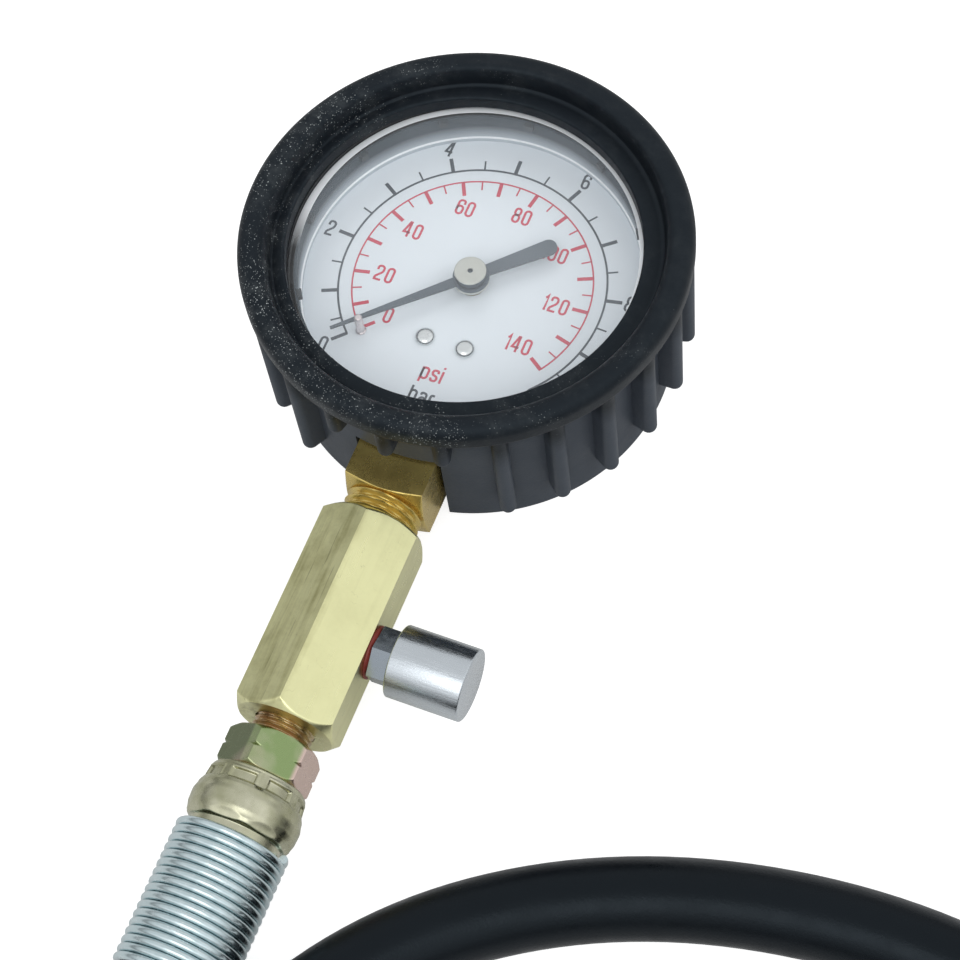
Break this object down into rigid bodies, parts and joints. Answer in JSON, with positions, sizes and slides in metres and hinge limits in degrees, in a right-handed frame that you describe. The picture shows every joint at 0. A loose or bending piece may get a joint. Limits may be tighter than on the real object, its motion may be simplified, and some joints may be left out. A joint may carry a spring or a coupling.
{
  "type": "engine oil pressure tester",
  "caption": "Round pressure gauge in a ribbed rubber boot, on a hexagon brass body with a push-button bleed valve and a coiled hose that ends in a male pipe fitting.",
  "frame": {"origin": "under the centre of the dial, on the flat back of the boot, where the tester lies on a table", "axes": "+Z is the way the dial faces, -Y is the way the stem and the brass body point, +X is the way the bleed button points"},
  "size_m": [0.2364, 0.3234, 0.037],
  "materials": {
    "boot_rubber": "matt black rubber with light dust",
    "case_black": "black moulded case",
    "window_clear": "clear window",
    "ring_grey": "light grey ring",
    "dial_white": "white printed dial",
    "screw_steel": "bright steel",
    "pointer_black": "dark grey painted",
    "hub_silver": "satin silver",
    "brass_movement": "plain brass",
    "bronze_spring": "spring bronze",
    "brass_socket": "golden brass, machined",
    "brass_body": "pale brass, drawn bar with scratches",
    "seal_red": "red-brown seal",
    "valve_steel": "bright plated steel",
    "button_chrome": "brushed chrome",
    "seal_black": "black rubber",
    "spring_steel": "spring steel",
    "zinc_yellow": "yellow passivated zinc plate",
    "ferrule_zinc": "pale zinc plate, crimped",
    "guard_steel": "bright zinc plated wire",
    "hose_rubber": "smooth black rubber"
  },
  "bodies": {
    "tester": {"bourdon_tube": "bronze_spring", "dial_plate": "dial_white", "dial_posts": "brass_movement", "dial_screw_left": "screw_steel", "dial_screw_right": "screw_steel", "far_ferrule": "ferrule_zinc", "far_fitting": "zinc_yellow", "ferrule": "ferrule_zinc", "gauge_case": "case_black", "hairspring": "bronze_spring", "hose": "hose_rubber", "hose_insert": "zinc_yellow", "movement_back_plate": "brass_movement", "movement_front_plate": "brass_movement", "movement_pillars": "brass_movement", "movement_screws": "screw_steel", "relief_seal": "seal_red", "relief_spring": "spring_steel", "relief_valve_body": "valve_steel", "rubber_boot": "boot_rubber", "spacer_ring": "ring_grey", "spring_guard": "guard_steel", "stem_socket": "brass_socket", "stop_pin": "screw_steel", "tube_tip": "brass_movement", "valve_body": "brass_body", "window": "window_clear"},
    "sector": {"sector_gear": "brass_movement"},
    "link_body": {"link": "brass_movement"},
    "needle": {"pinion_arbor": "brass_movement", "pointer": "pointer_black", "pointer_hub": "hub_silver"},
    "button": {"relief_button": "button_chrome", "relief_plunger": "valve_steel", "relief_oring": "seal_black"}
  },
  "joints": [
    {"name": "sector_hinge", "type": "hinge", "parent": "tester", "child": "sector", "pos_m": [0.01523, 0.00551, 0.0096], "axis": [0, 0, 1], "range_deg": [0, 33.75], "stiffness_Nm_per_rad": 0.02},
    {"name": "pointer_hinge", "type": "hinge", "parent": "tester", "child": "needle", "pos_m": [0, 0, 0.02], "axis": [0, 0, -1], "range_deg": [0, 270]},
    {"name": "link_hinge", "type": "hinge", "parent": "sector", "child": "link_body", "pos_m": [0.02002, 0.00406, 0.0109], "axis": [0, 0, -1], "range_deg": [0, 33.75]},
    {"name": "bleed_press", "type": "slide", "parent": "tester", "child": "button", "axis": [-1, 0, 0], "range_m": [0, 0.002], "stiffness_N_per_m": 1500, "springref_m": -0.002}
  ],
  "couplings": [
    {"joint": "pointer_hinge", "follows": "sector_hinge", "ratio": 8},
    {"joint": "link_hinge", "follows": "sector_hinge", "ratio": 1}
  ]
}
